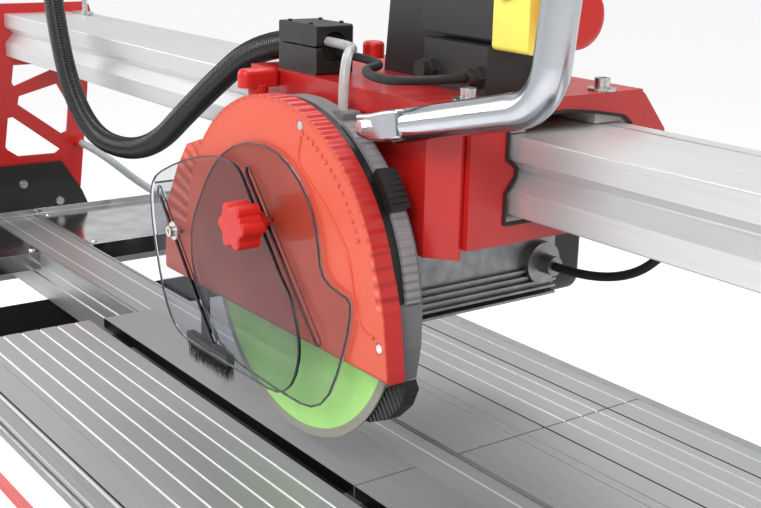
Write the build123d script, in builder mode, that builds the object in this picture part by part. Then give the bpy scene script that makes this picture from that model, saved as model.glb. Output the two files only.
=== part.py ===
from build123d import *
import math
import os

# Bridge tile cutter, millimetres, +Z up. Origin: centre of the bounding box at floor level.
# The three datum planes below meet where the blade plane crosses the table top, under the spindle.
blade_x = 287.5
blade_y = -104.0
table_z = 800.0

blade_r = 175.0
spindle_z = 208.4
frame_left = -1176.0
frame_right = 601.0
plate_t = 5.0
rail_bottom = -80.0
plate_left = -543.0
plate_right = 600.0
beam_front = 114.0
beam_rear = 264.0
beam_bottom = 301.0
beam_top = 378.5
car_left = -150.0
car_right = 199.0
car_top = 411.0
sheet = 3.0
plunge_x = -135.0
plunge_z = 290.0
conduit_r = 15.5
conduit_wall = 2.5

datum = (blade_x, blade_y, table_z)
top = Plane(origin=datum, x_dir=(1, 0, 0), z_dir=(0, 0, 1))
front = Plane(origin=datum, x_dir=(1, 0, 0), z_dir=(0, -1, 0))
side = Plane(origin=datum, x_dir=(0, 1, 0), z_dir=(1, 0, 0))

os.makedirs("parts", exist_ok=True)

# ---------------------------------------------------------------- fixed frame
front_profile = [
    (-253, rail_bottom), (-197, rail_bottom), (-197, -77), (-218, -77), (-218, 0), (-239, 0), (-239, -4), (-236, -4),
    (-236, -12), (-250, -12), (-250, -4), (-247, -4), (-247, 0), (-253, 0),
]
with BuildPart() as front_rail:
    with BuildSketch(side.offset(frame_left)):
        Polygon(front_profile, align=None)
        with Locations((-235.5, -46)):
            Rectangle(29, 58, mode=Mode.SUBTRACT)
    extrude(amount=frame_right - frame_left)
front_rail.part.label = "front_rail"
export_step(front_rail.part, "parts/front_rail.step")

centre_profile = [
    (62, rail_bottom), (155, rail_bottom), (155, -3), (151, -3), (151, -5.5), (147, -5.5),
    (147, -3), (70, -3), (70, -5.5), (66, -5.5), (66, -3), (62, -3), (62, -22), (64, -24),
    (62, -26), (62, -42), (64, -44), (62, -46),
]
with BuildPart() as centre_rail:
    with BuildSketch(side.offset(frame_left + 7)):
        Polygon(centre_profile, align=None)
        with Locations((108.5, -43)):
            Rectangle(83, 66, mode=Mode.SUBTRACT)
    extrude(amount=frame_right - frame_left - 7)
centre_rail.part.label = "centre_rail"
export_step(centre_rail.part, "parts/centre_rail.step")

rear_profile = [
    (461, rail_bottom), (419, rail_bottom), (419, -77), (440, -77), (440, 0), (453, 0), (459, -2.5), (461, -8),
]
with BuildPart() as rear_rail:
    with BuildSketch(side.offset(frame_left)):
        Polygon(rear_profile, align=None)
        with Locations((450.5, -46)):
            Rectangle(15, 58, mode=Mode.SUBTRACT)
    extrude(amount=frame_right - frame_left)
rear_rail.part.label = "rear_rail"
export_step(rear_rail.part, "parts/rear_rail.step")

# end members carry the leg hinges, the short bars carry the table plates
leg_pivot_z = -175.0
leg_left_x = -1100.0
leg_right_x = 525.0
leg_front_y = -228.0
leg_rear_y = 438.0
with BuildPart() as cross_members:
    for x0, x1, hinge_x in ((frame_left, frame_left + 40, leg_left_x), (frame_right - 40, frame_right, leg_right_x)):
        with BuildSketch(top.offset(rail_bottom)):
            with Locations(((x0 + x1) / 2, 104)):
                Rectangle(x1 - x0, 714)
        extrude(amount=-30)
        for y0 in (leg_front_y - 20, leg_rear_y + 15):
            with BuildSketch(front.offset(-y0 - 5)):
                Polygon([(x0, -110), (x1, -110), (hinge_x + 18, -160), (hinge_x + 18, -193),
                         (hinge_x - 18, -193), (hinge_x - 18, -160)], align=None)
                with Locations((hinge_x, leg_pivot_z)):
                    Circle(8.05, mode=Mode.SUBTRACT)
            extrude(amount=5)
    for bar_x in (-520, 96, 545):
        for y0, y1 in ((-218, 62), (155, 440)):
            with BuildSketch(top.offset(-14)):
                with Locations((bar_x, (y0 + y1) / 2)):
                    Rectangle(30, y1 - y0)
            extrude(amount=-26)
cross_members.part.label = "cross_members"
export_step(cross_members.part, "parts/cross_members.step")

# ---------------------------------------------------------------- shelf, table plates, tray
with BuildPart() as shelf:
    with BuildSketch(top.offset(-3)):
        with Locations((-1046, 111)):
            Rectangle(256, 658)
        with Locations((-1043.5, 108.5)):
            Rectangle(251, 94, mode=Mode.SUBTRACT)
    extrude(amount=3)
    with BuildSketch(top.offset(-3)):
        with Locations((-1175, 111)):
            Rectangle(2, 658)
    extrude(amount=13)
    for y0, y1 in ((-216, 60), (157, 438)):
        with BuildSketch(top.offset(-30)):
            with Locations((-919, (y0 + y1) / 2)):
                Rectangle(2, y1 - y0)
        extrude(amount=27)
    with BuildSketch(top.offset(-3)):
        for x in (-935, -1153):
            for y in (52, 165):
                with Locations((x, y)):
                    Circle(2.5)
    extrude(amount=3, mode=Mode.SUBTRACT)
shelf.part.label = "shelf"
export_step(shelf.part, "parts/shelf.step")

with BuildPart() as shelf_screws:
    for x in (-935, -1153):
        for y in (52, 165):
            with BuildSketch(top.offset(-8)):
                with Locations((x, y)):
                    Circle(2.5)
            extrude(amount=8)
            with BuildSketch(top):
                with Locations((x, y)):
                    Circle(6)
            extrude(amount=3, taper=25)
    for y, z in ((130, 60), (200, 20), (60, 20)):
        with BuildSketch(side.offset(frame_left - plate_t)):
            with Locations((y, z)):
                Circle(4)
        extrude(amount=plate_t)
        with BuildSketch(side.offset(frame_left)):
            with Locations((y, z)):
                Circle(9)
        extrude(amount=4, taper=25)
        with BuildSketch(side.offset(frame_right)):
            with Locations((y, z)):
                Circle(4)
        extrude(amount=plate_t)
        with BuildSketch(side.offset(frame_right - 4)):
            with Locations((y, z)):
                Circle(9)
        extrude(amount=4)
shelf_screws.part.label = "shelf_screws"
export_step(shelf_screws.part, "parts/shelf_screws.step")

groove_y = (-34, -60, -86, -112, -138, -164)
with BuildPart() as table_front:
    with BuildSketch(side.offset(plate_left)):
        with Locations((-114.25, -7)):
            Rectangle(206.5, 14)
        for y in groove_y:
            with Locations((y, -0.6)):
                Rectangle(3, 1.2, mode=Mode.SUBTRACT)
        with Locations((-175, -0.4)):
            Rectangle(1, 0.8, mode=Mode.SUBTRACT)
        with Locations((-209.5, -0.6)):
            Rectangle(1.5, 1.2, mode=Mode.SUBTRACT)
    extrude(amount=plate_right - plate_left)
table_front.part.label = "table_front"
export_step(table_front.part, "parts/table_front.step")

for name, x0, x1 in (("table_centre_left", plate_left + 3, 95.0), ("table_centre_right", 97.0, plate_right)):
    with BuildPart() as table_centre:
        with BuildSketch(side.offset(x0)):
            Polygon([(10, 0), (92, 0), (92, -3), (61.5, -3), (61.5, -14), (10, -14)], align=None)
        extrude(amount=x1 - x0)
    table_centre.part.label = name
    export_step(table_centre.part, "parts/" + name + ".step")

for name, x0, x1 in (("table_rear_left", plate_left, 95.0), ("table_rear_right", 97.0, plate_right)):
    with BuildPart() as table_rear:
        with BuildSketch(side.offset(x0)):
            Polygon([(152, 0), (439.5, 0), (439.5, -14), (155.5, -14), (155.5, -2.9), (152, -2.9)], align=None)
            for y in (282, 386):
                with Locations((y, -1)):
                    Rectangle(2, 2, mode=Mode.SUBTRACT)
            for y in (315, 343, 369, 420):
                with Locations((y, -0.6)):
                    Rectangle(3, 1.2, mode=Mode.SUBTRACT)
            for y in (235, 250):
                with Locations((y, -0.4)):
                    Rectangle(1, 0.8, mode=Mode.SUBTRACT)
        extrude(amount=x1 - x0)
    table_rear.part.label = name
    export_step(table_rear.part, "parts/" + name + ".step")

# folded tray hung on the ledges of the two long rails, with a drain spout
tray_x0 = -905.0
tray_x1 = 550.0
with BuildPart() as water_tray:
    with BuildSketch(top.offset(-150)):
        with Locations(((tray_x0 + tray_x1) / 2, 110)):
            Rectangle(tray_x1 - tray_x0, 612)
    extrude(amount=68)
    with BuildSketch(top.offset(-148)):
        with Locations(((tray_x0 + tray_x1) / 2, 110)):
            Rectangle(tray_x1 - tray_x0 - 4, 608)
    extrude(amount=70, mode=Mode.SUBTRACT)
    for y0, y1 in ((-215, -194), (414, 437)):
        with BuildSketch(top.offset(-77)):
            with Locations(((tray_x0 + tray_x1) / 2, (y0 + y1) / 2)):
                Rectangle(tray_x1 - tray_x0, y1 - y0)
        extrude(amount=2)
    for y0 in (-196, 414):
        with BuildSketch(top.offset(-82)):
            with Locations(((tray_x0 + tray_x1) / 2, y0 + 1)):
                Rectangle(tray_x1 - tray_x0, 2)
        extrude(amount=5)
    with BuildSketch(top.offset(-176)):
        with Locations((480, 110)):
            Circle(12)
    extrude(amount=27)
    with BuildSketch(top.offset(-176)):
        with Locations((480, 110)):
            Circle(9)
    extrude(amount=30, mode=Mode.SUBTRACT)
water_tray.part.label = "water_tray"
export_step(water_tray.part, "parts/water_tray.step")

with BuildPart() as pump:
    with BuildSketch(top.offset(-148)):
        with Locations((-700, 330)):
            RectangleRounded(96, 64, 12)
    extrude(amount=52)
    with BuildSketch(top.offset(-96)):
        with Locations((-700, 330)):
            RectangleRounded(70, 44, 10)
    extrude(amount=10, taper=12)
    with BuildSketch(top.offset(-87)):
        with Locations((-700, 330)):
            Circle(7)
    extrude(amount=12)
pump.part.label = "pump"
export_step(pump.part, "parts/pump.step")

plate_outline = [(-92, -80), (257, -80), (257, 9), (246, 36), (207, 97), (-30, 97), (-72, 82), (-92, 45)]
lock_r = math.hypot(47, 51)
lock_angles = [math.radians(125 + 3 * k) for k in range(21)]
lock_slot = [((lock_r + 5.6) * math.cos(a), (lock_r + 5.6) * math.sin(a)) for a in lock_angles]
lock_slot += [((lock_r - 5.6) * math.cos(a), (lock_r - 5.6) * math.sin(a)) for a in reversed(lock_angles)]
with BuildPart() as pivot_plates:
    for x0 in (frame_left - plate_t, frame_right):
        with BuildSketch(side.offset(x0)):
            Polygon(plate_outline, align=None)
            Circle(8.05, mode=Mode.SUBTRACT)
            for y, z in ((130, 60), (200, 20), (60, 20)):
                with Locations((y, z)):
                    Circle(4, mode=Mode.SUBTRACT)
            Polygon(lock_slot, align=None, mode=Mode.SUBTRACT)
        extrude(amount=plate_t)
pivot_plates.part.label = "pivot_plates"
export_step(pivot_plates.part, "parts/pivot_plates.step")

# ---------------------------------------------------------------- folding legs
for name, hinge_x, inward in (("leg_left", leg_left_x, 1), ("leg_right", leg_right_x, -1)):
    with BuildPart() as leg:
        for y in (leg_front_y, leg_rear_y):
            with BuildSketch(top.offset(-790)):
                with Locations((hinge_x, y)):
                    Circle(15)
                    Circle(13, mode=Mode.SUBTRACT)
            extrude(amount=615 - 13)
            with BuildSketch(front.offset(-y - 14)):
                with Locations((hinge_x, leg_pivot_z)):
                    Circle(15)
            extrude(amount=28)
        with BuildSketch(front.offset(-leg_rear_y + 10)):
            with Locations((hinge_x, -640)):
                Circle(12)
                Circle(10, mode=Mode.SUBTRACT)
        extrude(amount=leg_rear_y - leg_front_y - 20)
        for y0, y1 in ((leg_front_y - 21, leg_front_y - 13), (leg_rear_y + 13, leg_rear_y + 21)):
            with BuildSketch(front.offset(-y1)):
                with Locations((hinge_x, leg_pivot_z)):
                    Circle(8)
            extrude(amount=y1 - y0)
    leg.part.label = name
    export_step(leg.part, "parts/" + name + ".step")

for name, hinge_x in (("feet_left", leg_left_x), ("feet_right", leg_right_x)):
    with BuildPart() as feet:
        for y in (leg_front_y, leg_rear_y):
            with BuildSketch(top.offset(-table_z)):
                with Locations((hinge_x, y)):
                    Circle(19)
            extrude(amount=40)
            with BuildSketch(top.offset(-790)):
                with Locations((hinge_x, y)):
                    Circle(15)
            extrude(amount=31, mode=Mode.SUBTRACT)
    feet.part.label = name
    export_step(feet.part, "parts/" + name + ".step")

# ---------------------------------------------------------------- tilting bridge
groove_front = [(113, 355.5), (128, 344), (128, 342), (113, 324.5)]
groove_rear = [(265, 355.5), (250, 344), (250, 342), (265, 324.5)]
bolt_spots = ((124, 313), (124, 368), (254, 313), (254, 368))
with BuildPart() as beam:
    with BuildSketch(side.offset(frame_left - 6)):
        with Locations(((beam_front + beam_rear) / 2, (beam_bottom + beam_top) / 2)):
            RectangleRounded(beam_rear - beam_front, beam_top - beam_bottom, 2)
        Polygon(groove_front, align=None, mode=Mode.SUBTRACT)
        Polygon(groove_rear, align=None, mode=Mode.SUBTRACT)
        with Locations((189, 339.75)):
            Rectangle(106, 69.5, mode=Mode.SUBTRACT)
        with Locations((240, 377.8)):
            Rectangle(6, 2, mode=Mode.SUBTRACT)
        for y, z in bolt_spots:
            with Locations((y, z)):
                Circle(4, mode=Mode.SUBTRACT)
    extrude(amount=frame_right - frame_left + 12)
beam.part.label = "beam"
export_step(beam.part, "parts/beam.step")

red_outline = [
    (90, 380), (104, 396), (268, 396), (278, 390), (281, 380), (268, 229), (246, 43), (236, -14),
    (222, -32), (-8, -36), (-30, -22), (-74, 10), (-78, 40), (-62, 72), (-30, 92), (20, 108),
    (66, 140), (92, 190), (98, 250),
]
window_upper = [(121, 252), (125, 245), (197, 271), (174, 284), (126, 284)]
window_middle = [(130, 211), (133, 226), (207, 245), (229, 204), (223, 153), (212, 149)]
window_lower = [(110, 187), (119, 188), (208, 119), (198, 112), (126, 113), (106, 127), (102, 133)]
for name, x0, inner in (("bridge_plate_left", frame_left - 11, frame_left - 6),
                        ("bridge_plate_right", frame_right + 6, frame_right + 6)):
    with BuildPart() as bridge_plate:
        with BuildSketch(side.offset(x0)):
            Polygon(red_outline, align=None)
            Polygon(window_upper, align=None, mode=Mode.SUBTRACT)
            Polygon(window_middle, align=None, mode=Mode.SUBTRACT)
            Polygon(window_lower, align=None, mode=Mode.SUBTRACT)
            Circle(8, mode=Mode.SUBTRACT)
            with Locations((-47, 51)):
                Circle(5.05, mode=Mode.SUBTRACT)
            for y, z in bolt_spots:
                with Locations((y, z)):
                    Circle(4, mode=Mode.SUBTRACT)
        extrude(amount=5)
        if name == "bridge_plate_left":
            with BuildSketch(side.offset(inner)):
                with Locations((243, 131)):
                    Circle(9)
            extrude(amount=16)
            with BuildSketch(side.offset(inner + 16)):
                with Locations((243, 131)):
                    Circle(7)
            extrude(amount=6)
    bridge_plate.part.label = name
    export_step(bridge_plate.part, "parts/" + name + ".step")

with BuildPart() as bridge_bolts:
    for shank_x, head_x, pin_x in ((frame_left - 11, frame_left - 18, frame_left - 11),
                                   (frame_right - 19, frame_right + 11, frame_right + 0.2)):
        for y, z in bolt_spots:
            with BuildSketch(side.offset(shank_x)):
                with Locations((y, z)):
                    Circle(4)
            extrude(amount=30)
            with BuildSketch(side.offset(head_x)):
                with Locations((y, z)):
                    RegularPolygon(7.5, 6)
            extrude(amount=7)
        with BuildSketch(side.offset(pin_x)):
            Circle(8)
        extrude(amount=10.8)
        with BuildSketch(side.offset(head_x)):
            RegularPolygon(14, 6)
        extrude(amount=7)
bridge_bolts.part.label = "bridge_bolts"
export_step(bridge_bolts.part, "parts/bridge_bolts.step")

rod_x = -1120.0
rod_y = 243.75
holder_z = 700.0
holder_axis = (-0.8, 0.6, 0)
with BuildPart() as hose_rod:
    with BuildSketch(top.offset(beam_top)):
        with Locations((rod_x, rod_y - 4)):
            RectangleRounded(50, 24, 4)
    extrude(amount=5)
    with BuildSketch(top.offset(beam_top + 5)):
        with Locations((rod_x, rod_y)):
            Circle(5)
    extrude(amount=holder_z - 18 - beam_top - 5)
    with BuildSketch(Plane(origin=(blade_x + rod_x + 12, blade_y + rod_y - 9, table_z + holder_z), z_dir=holder_axis)):
        Circle(20)
    extrude(amount=30)
    with BuildSketch(Plane(origin=(blade_x + rod_x + 16, blade_y + rod_y - 12, table_z + holder_z), z_dir=holder_axis)):
        Circle(conduit_r)
    extrude(amount=40, mode=Mode.SUBTRACT)
hose_rod.part.label = "hose_rod"
export_step(hose_rod.part, "parts/hose_rod.step")

for name, stud_x, knob_x in (("tilt_lock_left", frame_left - 14, frame_left - 36),
                             ("tilt_lock_right", frame_right + 0.2, frame_right + 11.3)):
    with BuildPart() as tilt_lock:
        with BuildSketch(side.offset(knob_x)):
            with Locations((-47, 51)):
                Circle(18)
            with Locations((-47, 51)):
                with PolarLocations(17, 5):
                    Circle(7)
        extrude(amount=24.7)
        with BuildSketch(side.offset(stud_x)):
            with Locations((-47, 51)):
                Circle(5)
        extrude(amount=13.8)
    tilt_lock.part.label = name
    export_step(tilt_lock.part, "parts/" + name + ".step")

# ---------------------------------------------------------------- sliding carriage
# the opening hugs the beam, with a tongue that follows its groove
opening = [
    (108, 294), (108, 323), (120, 338), (120, 348), (108, 357), (108, 385), (154, 395), (185, 395),
    (221, 391), (262, 384), (271, 377), (271, 294),
]
with BuildPart() as carriage_body:
    with BuildSketch(front.offset(-65)):
        with Locations(((car_left + car_right) / 2, 340)):
            Rectangle(car_right - car_left, 136)
        with Locations((plunge_x, plunge_z)):
            Circle(8, mode=Mode.SUBTRACT)
    extrude(amount=sheet)
    for x0 in (car_left, car_right - sheet):
        with BuildSketch(side.offset(x0)):
            with Locations((175, 340)):
                Rectangle(226, 136)
            Polygon(opening, align=None, mode=Mode.SUBTRACT)
        extrude(amount=sheet)
carriage_body.part.label = "carriage_body"
export_step(carriage_body.part, "parts/carriage_body.step")

screw_spots = ((176, 75), (185, 243), (-138, 100), (-138, 243))
with BuildPart() as carriage_top:
    with BuildSketch(top.offset(car_top - sheet)):
        with Locations(((car_left + car_right) / 2, 160)):
            Rectangle(car_right - car_left, 256)
        for x, y in screw_spots:
            with Locations((x, y)):
                Circle(5, mode=Mode.SUBTRACT)
        with Locations((-62, 137)):
            Circle(4.05, mode=Mode.SUBTRACT)
    extrude(amount=sheet)
    with BuildSketch(front.offset(-35)):
        with Locations(((car_left + car_right) / 2, 399)):
            Rectangle(car_right - car_left, 22)
    extrude(amount=sheet)
carriage_top.part.label = "carriage_top"
export_step(carriage_top.part, "parts/carriage_top.step")

with BuildPart() as carriage_trim:
    for x0 in (car_left - 2, car_right):
        with BuildSketch(side.offset(x0)):
            Polygon(opening, align=None)
            offset(amount=3)
            Polygon(opening, align=None, mode=Mode.SUBTRACT)
        extrude(amount=2)
carriage_trim.part.label = "carriage_trim"
export_step(carriage_trim.part, "parts/carriage_trim.step")

with BuildPart() as rear_cover:
    with BuildSketch(side.offset(car_left)):
        Polygon([(288, 409), (293, 405), (326, 367), (326, 290), (288, 290)], align=None)
    extrude(amount=car_right - car_left)
    with BuildSketch(side.offset(car_left + 2)):
        Polygon([(288, 407), (291, 404), (324, 366), (324, 292), (288, 292)], align=None)
    extrude(amount=car_right - car_left - 4, mode=Mode.SUBTRACT)
rear_cover.part.label = "rear_cover"
export_step(rear_cover.part, "parts/rear_cover.step")

# sliding blocks: a ridge on each runs in the beam groove, a foot carries the weight on the beam top
ridge_front = [(65, 316), (113, 316), (113, 327.8), (126.6, 342.3), (126.6, 343.7), (113, 352.6),
               (113, 379.3), (134, 379.3), (134, 383), (113, 383), (113, 408), (65, 408)]
ridge_rear = [(288, 316), (265, 316), (265, 327.8), (251.4, 342.3), (251.4, 343.7), (265, 352.6),
              (265, 379.3), (228, 379.3), (228, 408), (288, 408)]
with BuildPart() as glide_blocks:
    for x0 in (car_left + 6, car_right - 56):
        with BuildSketch(side.offset(x0)):
            Polygon(ridge_front, align=None)
        extrude(amount=50)
        with BuildSketch(side.offset(x0)):
            Polygon(ridge_rear, align=None)
        extrude(amount=50)
    with BuildSketch(top.offset(car_top - 20)):
        for x, y in screw_spots:
            with Locations((x, y)):
                Circle(5)
    extrude(amount=20, mode=Mode.SUBTRACT)
glide_blocks.part.label = "glide_blocks"
export_step(glide_blocks.part, "parts/glide_blocks.step")

with BuildPart() as carriage_screws:
    for x, y in screw_spots:
        with BuildSketch(top.offset(car_top - 20)):
            with Locations((x, y)):
                Circle(5)
        extrude(amount=20)
        with BuildSketch(top.offset(car_top)):
            with Locations((x, y)):
                Circle(15)
        extrude(amount=2.5)
        with BuildSketch(top.offset(car_top + 2.5)):
            with Locations((x, y)):
                Circle(8)
        extrude(amount=10)
        with BuildSketch(top.offset(car_top + 7.5)):
            with Locations((x, y)):
                RegularPolygon(4.6, 6)
        extrude(amount=5, mode=Mode.SUBTRACT)
    with BuildSketch(front.offset(-65)):
        with Locations((plunge_x, plunge_z)):
            Circle(8)
    extrude(amount=30)
    with BuildSketch(front.offset(-35.5)):
        with Locations((plunge_x, plunge_z)):
            RegularPolygon(13, 6)
    extrude(amount=4.6)
carriage_screws.part.label = "carriage_screws"
export_step(carriage_screws.part, "parts/carriage_screws.step")

with BuildPart() as hose_clamp:
    for z0, z1 in ((car_top, 439.2), (440.8, 463)):
        with BuildSketch(front.offset(-88)):
            with Locations((-69.5, (z0 + z1) / 2)):
                RectangleRounded(75, z1 - z0, 3)
        extrude(amount=46)
    with BuildSketch(side.offset(-107)):
        with Locations((65, 440)):
            Circle(conduit_r)
    extrude(amount=75, mode=Mode.SUBTRACT)
    for y in (45.5, 84.5):
        with BuildSketch(top.offset(439)):
            with Locations((-69.5, y)):
                Circle(2.5)
        extrude(amount=2)
        with BuildSketch(top.offset(463)):
            with Locations((-90, y)):
                Circle(2.4)
            with Locations((-49, y)):
                Circle(2.4)
        extrude(amount=2)
hose_clamp.part.label = "hose_clamp"
export_step(hose_clamp.part, "parts/hose_clamp.step")

gland_spots = ((78, 428), (150, 428))
with BuildPart() as switch_box:
    with BuildSketch(front.offset(-212)):
        Polygon([(-41, car_top), (163, car_top), (163, 560), (-22, 560), (-33, 545), (-33, 487)], align=None)
    extrude(amount=75)
    with BuildSketch(front.offset(-137)):
        with Locations((114.5, 434.5)):
            Rectangle(97, 47)
    extrude(amount=29)
    with BuildSketch(front.offset(-137)):
        with Locations((104, 505)):
            RectangleRounded(118, 84, 4)
    extrude(amount=17)
    with BuildSketch(front.offset(-209)):
        Polygon([(-38, car_top), (160, car_top), (160, 557), (-19, 557), (-30, 544), (-30, 487)], align=None)
    extrude(amount=69, mode=Mode.SUBTRACT)
    for x, z in gland_spots:
        with BuildSketch(front.offset(-108)):
            with Locations((x, z)):
                RegularPolygon(12, 6)
        extrude(amount=7)
        with BuildSketch(front.offset(-101)):
            with Locations((x, z)):
                Circle(9)
        extrude(amount=9)
switch_box.part.label = "switch_box"
export_step(switch_box.part, "parts/switch_box.step")

# stop button and start button both slide in the switch housing
stop_y = 142.0
stop_z = 492.0
with BuildPart() as switch_housing:
    with BuildSketch(side.offset(163)):
        with Locations((stop_y, stop_z)):
            RectangleRounded(58, 74, 5)
    extrude(amount=50)
    with BuildSketch(side.offset(193)):
        with Locations((stop_y, stop_z)):
            Circle(11.05)
    extrude(amount=20, mode=Mode.SUBTRACT)
    with BuildSketch(front.offset(-stop_y + 14)):
        with Locations((182, 511)):
            Circle(8.05)
    extrude(amount=15, mode=Mode.SUBTRACT)
switch_housing.part.label = "switch_housing"
export_step(switch_housing.part, "parts/switch_housing.step")

with BuildPart() as stop_button:
    with BuildSketch(side.offset(201)):
        with Locations((stop_y, stop_z)):
            Circle(11)
    extrude(amount=26)
    with BuildSketch(side.offset(226)):
        with Locations((stop_y, stop_z)):
            Circle(30)
    extrude(amount=30)
    fillet(stop_button.edges().filter_by(GeomType.CIRCLE).group_by(Axis.X)[-1], 12)
stop_button.part.label = "stop_button"
export_step(stop_button.part, "parts/stop_button.step")

with BuildPart() as start_button:
    with BuildSketch(front.offset(-stop_y + 19)):
        with Locations((182, 511)):
            Circle(8)
    extrude(amount=15)
start_button.part.label = "start_button"
export_step(start_button.part, "parts/start_button.step")

with BuildPart() as lock_knob:
    with BuildSketch(top.offset(398)):
        with Locations((-62, 137)):
            Circle(4)
    extrude(amount=26)
    with BuildSketch(top.offset(422)):
        with Locations((-62, 137)):
            Circle(12)
    extrude(amount=18)
    fillet(lock_knob.edges().filter_by(GeomType.CIRCLE).group_by(Axis.Z)[-1], 4)
lock_knob.part.label = "lock_knob"
export_step(lock_knob.part, "parts/lock_knob.step")

with BuildPart() as wing_knob:
    with BuildSketch(top.offset(368)):
        with Locations((-94, 8)):
            Circle(4)
    extrude(amount=18)
    with BuildSketch(top.offset(384.2)):
        with Locations((-94, 8)):
            Circle(11)
    extrude(amount=12)
    with BuildSketch(top.offset(394)):
        with Locations((-94, 8)):
            SlotOverall(48, 19, rotation=90)
    extrude(amount=20)
    fillet(wing_knob.edges().group_by(Axis.Z)[-1], 6)
wing_knob.part.label = "wing_knob"
export_step(wing_knob.part, "parts/wing_knob.step")

# ---------------------------------------------------------------- plunging head
with BuildPart() as arm:
    with BuildSketch(top.offset(262)):
        Polygon([(-154, 36), (165, 36), (192, 57), (192, 60.5), (-154, 60.5)], align=None)
    extrude(amount=141)
    with BuildSketch(top.offset(265)):
        Polygon([(-151, 39), (164, 39), (189, 58.5), (189, 61), (-151, 61)], align=None)
    extrude(amount=135, mode=Mode.SUBTRACT)
    with BuildSketch(front.offset(-60.5)):
        with Locations((plunge_x, plunge_z)):
            Circle(17)
    extrude(amount=22)
    with BuildSketch(front.offset(-60.5)):
        Polygon([(-72, 300), (-72, 160), (-58, 142), (58, 142), (72, 160), (72, 300)], align=None)
    extrude(amount=8)
    with BuildSketch(front.offset(-62)):
        with Locations((plunge_x, plunge_z)):
            Circle(8.05)
    extrude(amount=30, mode=Mode.SUBTRACT)
    with BuildSketch(front.offset(-62)):
        with Locations((0, spindle_z)):
            Circle(22)
    extrude(amount=30, mode=Mode.SUBTRACT)
    with BuildSketch(front.offset(-39)):
        with Locations((105, 381.5), (124, 381.5)):
            Circle(3)
    extrude(amount=4, mode=Mode.SUBTRACT)
arm.part.label = "arm"
export_step(arm.part, "parts/arm.step")

tube_y = 14.0
tube_points = [(150, 388), (345, 434), (363, 600)]
with BuildPart() as handle_tube:
    with BuildLine(front.offset(-tube_y)) as handle_line:
        FilletPolyline(*tube_points, radius=48)
    with BuildSketch(Plane(origin=handle_line.line @ 0, z_dir=handle_line.line % 0)):
        Circle(16)
    sweep()
    with BuildSketch(front.offset(-36)):
        with Locations((132, 381.5)):
            RectangleRounded(84, 11, 4)
        with Locations((105, 381.5)):
            Circle(3, mode=Mode.SUBTRACT)
        with Locations((124, 381.5)):
            Circle(3, mode=Mode.SUBTRACT)
    extrude(amount=9)
handle_tube.part.label = "handle_tube"
export_step(handle_tube.part, "parts/handle_tube.step")

with BuildPart() as motor_body:
    with BuildSketch(front.offset(-300)):
        Polygon([(-75, 266), (-75, 168), (-57, 150), (57, 150), (75, 168), (75, 266)], align=None)
        for z in (160, 168, 176, 184, 192):
            with Locations((0, z)):
                Rectangle(160, 3)
    extrude(amount=238)
    fillet(motor_body.edges().filter_by(Axis.Y).group_by(Axis.Z)[-1], 12)
    with BuildSketch(front.offset(-62)):
        with Locations((0, spindle_z)):
            Rectangle(136, 108)
    extrude(amount=1.5)
    with BuildSketch(front.offset(-301)):
        with Locations((0, spindle_z)):
            Circle(10.05)
    extrude(amount=242, mode=Mode.SUBTRACT)
    with BuildSketch(front.offset(-270)):
        with Locations((0, spindle_z)):
            Circle(50)
    extrude(amount=176, mode=Mode.SUBTRACT)
    with BuildSketch(side.offset(70)):
        with Locations((274, 200)):
            Circle(24)
    extrude(amount=16)
    with BuildSketch(side.offset(86)):
        with Locations((274, 200)):
            Circle(11)
    extrude(amount=18)
motor_body.part.label = "motor_body"
export_step(motor_body.part, "parts/motor_body.step")

with BuildPart() as fan_cover:
    with BuildSketch(front.offset(-346)):
        with Locations((0, spindle_z)):
            RectangleRounded(146, 112, 20)
    extrude(amount=46)
    fillet(fan_cover.edges().group_by(Axis.Y)[-1], 8)
    with BuildSketch(front.offset(-342)):
        with Locations((0, spindle_z)):
            RectangleRounded(140, 106, 17)
    extrude(amount=43, mode=Mode.SUBTRACT)
    with BuildSketch(front.offset(-347)):
        for x in range(-42, 43, 12):
            with Locations((x, spindle_z)):
                Rectangle(5, 70)
    extrude(amount=6, mode=Mode.SUBTRACT)
fan_cover.part.label = "fan_cover"
export_step(fan_cover.part, "parts/fan_cover.step")

with BuildPart() as spindle:
    with BuildSketch(front.offset(-312)):
        with Locations((0, spindle_z)):
            Circle(10)
    extrude(amount=334)
    with BuildSketch(front.offset(-235)):
        with Locations((0, spindle_z)):
            Circle(46)
    extrude(amount=110)
    with BuildSketch(front.offset(-325)):
        with Locations((0, spindle_z)):
            Circle(16)
            for k in range(6):
                Rectangle(90, 4, rotation=30 * k)
    extrude(amount=20)
spindle.part.label = "spindle"
export_step(spindle.part, "parts/spindle.step")

with BuildPart() as blade:
    with BuildSketch(front.offset(-0.9)):
        with Locations((0, spindle_z)):
            Circle(blade_r - 9)
            Circle(12.7, mode=Mode.SUBTRACT)
    extrude(amount=1.8)
    with BuildSketch(front.offset(-1.3)):
        with Locations((0, spindle_z)):
            Circle(blade_r)
            Circle(blade_r - 10, mode=Mode.SUBTRACT)
    extrude(amount=2.6)
blade.part.label = "blade"
export_step(blade.part, "parts/blade.step")

with BuildPart() as blade_clamp:
    for y0, thick, radius in ((14, 13.1, 30), (-0.9, 8.1, 30)):
        with BuildSketch(front.offset(-y0)):
            with Locations((0, spindle_z)):
                Circle(radius)
                Circle(10, mode=Mode.SUBTRACT)
        extrude(amount=thick)
    with BuildSketch(front.offset(-0.9)):
        with Locations((0, spindle_z)):
            Circle(12.7)
            Circle(10, mode=Mode.SUBTRACT)
    extrude(amount=1.8)
    with BuildSketch(front.offset(9)):
        with Locations((0, spindle_z)):
            RegularPolygon(17, 6)
            Circle(10, mode=Mode.SUBTRACT)
    extrude(amount=11)
blade_clamp.part.label = "blade_clamp"
export_step(blade_clamp.part, "parts/blade_clamp.step")

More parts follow.
